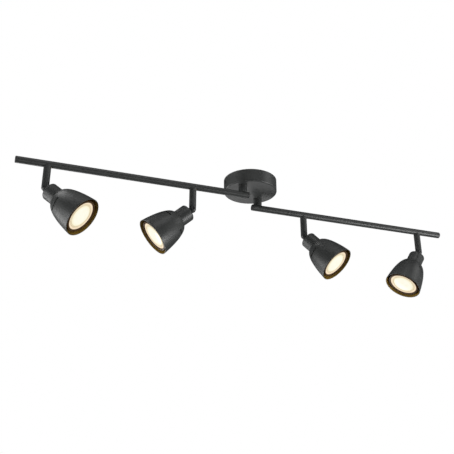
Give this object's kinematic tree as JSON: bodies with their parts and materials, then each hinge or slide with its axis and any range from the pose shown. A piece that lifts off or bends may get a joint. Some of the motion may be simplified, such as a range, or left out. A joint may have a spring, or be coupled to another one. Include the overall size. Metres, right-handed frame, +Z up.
{
  "type": "ceiling spotlight bar",
  "caption": "Black ceiling spotlight bar: a round canopy with two swinging straight arms that carry turning, tilting bell-shaped spot heads with lit reflector lamps.",
  "frame": {"origin": "centre of the canopy's ceiling face, where the bracket meets the ceiling", "axes": "+Z up into the ceiling, +X along the arms towards the right arm's free end, +Y away from the viewer"},
  "size_m": [0.724, 0.1215, 0.1548],
  "materials": {
    "black_coat": "satin black powder coat with a very fine texture",
    "black_plastic": "matt black moulded",
    "black_screw": "blackened steel",
    "zinc_steel": "zinc-plated",
    "brass": "turned",
    "ceramic": "unglazed off-white",
    "block_plastic": "moulded off-white",
    "lead_sleeve": "silicone sleeve",
    "core_leads": "silicone core insulation",
    "lamp_housing": "black moulded",
    "lamp_lens": "frosted, lit warm white",
    "bright_pins": "nickel-plated"
  },
  "bodies": {
    "canopy": {"canopy_cover": "black_coat", "ceiling_bracket": "zinc_steel", "cover_screws": "black_screw", "terminal_block": "block_plastic", "terminal_barrels": "brass", "terminal_screws": "brass", "earth_screw": "brass", "swivel_bushes": "black_plastic", "canopy_leads": "lead_sleeve"},
    "left_arm": {"left_bar": "black_coat", "left_post": "black_coat", "left_nipple": "brass", "left_swivel_washer": "zinc_steel", "left_swivel_nut": "zinc_steel", "left_end_caps": "black_plastic", "left_stem_sockets": "brass", "left_pan_bolts": "zinc_steel", "left_arm_leads": "core_leads"},
    "right_arm": {"right_bar": "black_coat", "right_post": "black_coat", "right_nipple": "brass", "right_swivel_washer": "zinc_steel", "right_swivel_nut": "zinc_steel", "right_end_caps": "black_plastic", "right_stem_sockets": "brass", "right_pan_bolts": "zinc_steel", "right_arm_leads": "core_leads"},
    "stem_body_1": {"stem_1": "black_coat", "hinge_screw_1": "black_screw"},
    "head_1": {"neck_1": "black_coat", "shade_1": "black_coat", "lampholder_1": "ceramic", "lamp_body_1": "lamp_housing", "lamp_lens_1": "lamp_lens", "lamp_pins_1": "bright_pins"},
    "stem_body_2": {"stem_2": "black_coat", "hinge_screw_2": "black_screw"},
    "head_2": {"neck_2": "black_coat", "shade_2": "black_coat", "lampholder_2": "ceramic", "lamp_body_2": "lamp_housing", "lamp_lens_2": "lamp_lens", "lamp_pins_2": "bright_pins"},
    "stem_body_3": {"stem_3": "black_coat", "hinge_screw_3": "black_screw"},
    "head_3": {"neck_3": "black_coat", "shade_3": "black_coat", "lampholder_3": "ceramic", "lamp_body_3": "lamp_housing", "lamp_lens_3": "lamp_lens", "lamp_pins_3": "bright_pins"},
    "stem_body_4": {"stem_4": "black_coat", "hinge_screw_4": "black_screw"},
    "head_4": {"neck_4": "black_coat", "shade_4": "black_coat", "lampholder_4": "ceramic", "lamp_body_4": "lamp_housing", "lamp_lens_4": "lamp_lens", "lamp_pins_4": "bright_pins"}
  },
  "joints": [
    {"name": "left_arm_swing", "type": "hinge", "parent": "canopy", "child": "left_arm", "pos_m": [-0.02, -0.0195, -0.0206], "axis": [0, 0, 1], "range_deg": [-90, 90]},
    {"name": "right_arm_swing", "type": "hinge", "parent": "canopy", "child": "right_arm", "pos_m": [0.02, 0.0195, -0.0206], "axis": [0, 0, 1], "range_deg": [-90, 90]},
    {"name": "head_1_pan", "type": "hinge", "parent": "left_arm", "child": "stem_body_1", "pos_m": [-0.3166, -0.0195, -0.0397], "axis": [0, 0, 1], "range_deg": [-175, 175]},
    {"name": "head_1_tilt", "type": "hinge", "parent": "stem_body_1", "child": "head_1", "pos_m": [-0.3166, -0.0195, -0.0739], "axis": [-0.4617, -0.887, 0], "range_deg": [-140.1, 39.9]},
    {"name": "head_2_pan", "type": "hinge", "parent": "left_arm", "child": "stem_body_2", "pos_m": [-0.1006, -0.0195, -0.0397], "axis": [0, 0, 1], "range_deg": [-175, 175]},
    {"name": "head_2_tilt", "type": "hinge", "parent": "stem_body_2", "child": "head_2", "pos_m": [-0.1006, -0.0195, -0.0739], "axis": [0.1132, 0.9936, 0], "range_deg": [-138.9, 41.1]},
    {"name": "head_3_pan", "type": "hinge", "parent": "right_arm", "child": "stem_body_3", "pos_m": [0.1006, 0.0195, -0.0397], "axis": [0, 0, 1], "range_deg": [-175, 175]},
    {"name": "head_3_tilt", "type": "hinge", "parent": "stem_body_3", "child": "head_3", "pos_m": [0.1006, 0.0195, -0.0739], "axis": [-0.6794, -0.7337, 0], "range_deg": [-132.1, 47.9]},
    {"name": "head_4_pan", "type": "hinge", "parent": "right_arm", "child": "stem_body_4", "pos_m": [0.3166, 0.0195, -0.0397], "axis": [0, 0, 1], "range_deg": [-175, 175]},
    {"name": "head_4_tilt", "type": "hinge", "parent": "stem_body_4", "child": "head_4", "pos_m": [0.3166, 0.0195, -0.0739], "axis": [-0.0436, 0.999, 0], "range_deg": [-121.5, 58.5]}
  ]
}
